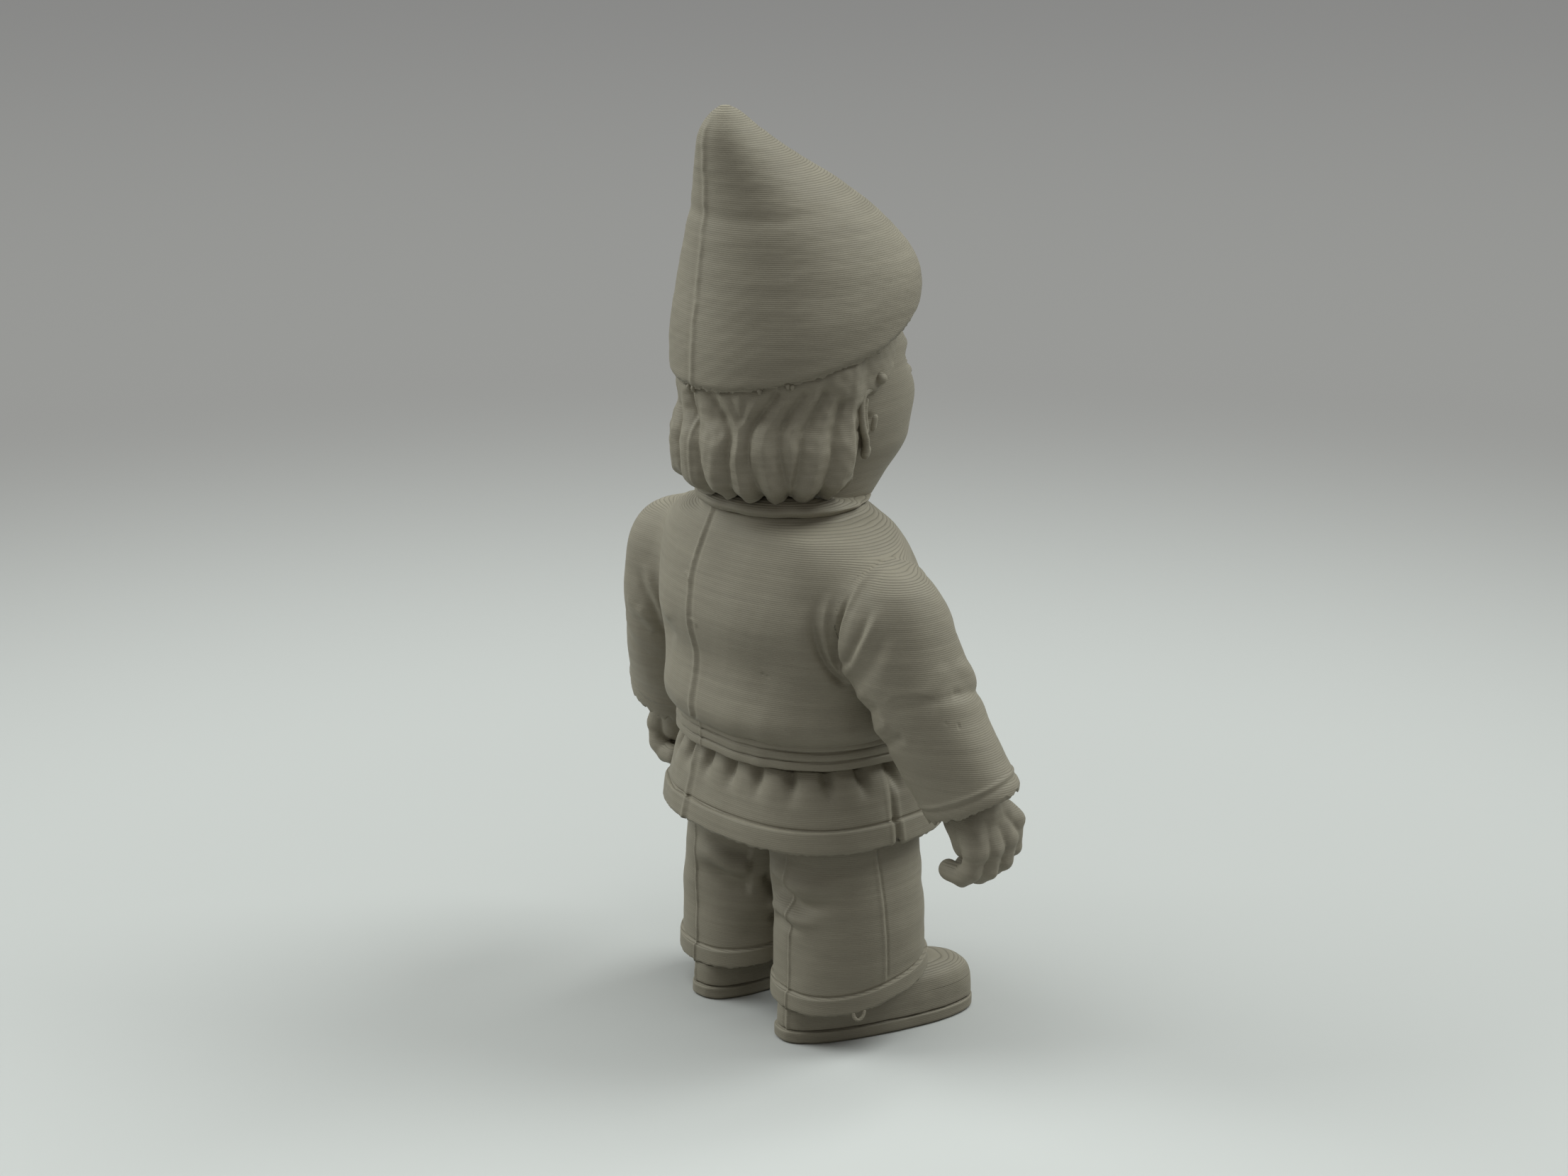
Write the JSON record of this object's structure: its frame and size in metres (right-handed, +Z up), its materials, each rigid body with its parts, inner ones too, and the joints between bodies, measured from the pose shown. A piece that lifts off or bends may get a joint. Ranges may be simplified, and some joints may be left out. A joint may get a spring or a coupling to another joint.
{
  "type": "gnome figure",
  "caption": "Standing gnome figure in printed plastic with a pointed cap, bobbed hair, belted jacket, wide sleeves, loose trousers and round-toed shoes.",
  "frame": {"origin": "on the floor, midway between the shoes, at the middle of the figure's outline", "axes": "+Z up, -Y the way the figure faces, +X to the figure's left"},
  "size_m": [0.0618, 0.0292, 0.0987],
  "materials": {
    "print_plastic": "warm grey filament print with fine level layer lines"
  },
  "bodies": {
    "root": {"right_sole": "print_plastic", "right_shoe": "print_plastic", "right_trouser_leg": "print_plastic", "right_sleeve": "print_plastic", "right_hand": "print_plastic", "left_sole": "print_plastic", "left_shoe": "print_plastic", "left_trouser_leg": "print_plastic", "left_sleeve": "print_plastic", "left_hand": "print_plastic", "trouser_seat": "print_plastic", "jacket_skirt": "print_plastic", "belt": "print_plastic", "jacket": "print_plastic", "collar": "print_plastic", "head": "print_plastic", "hair": "print_plastic", "hat": "print_plastic"}
  },
  "joints": []
}
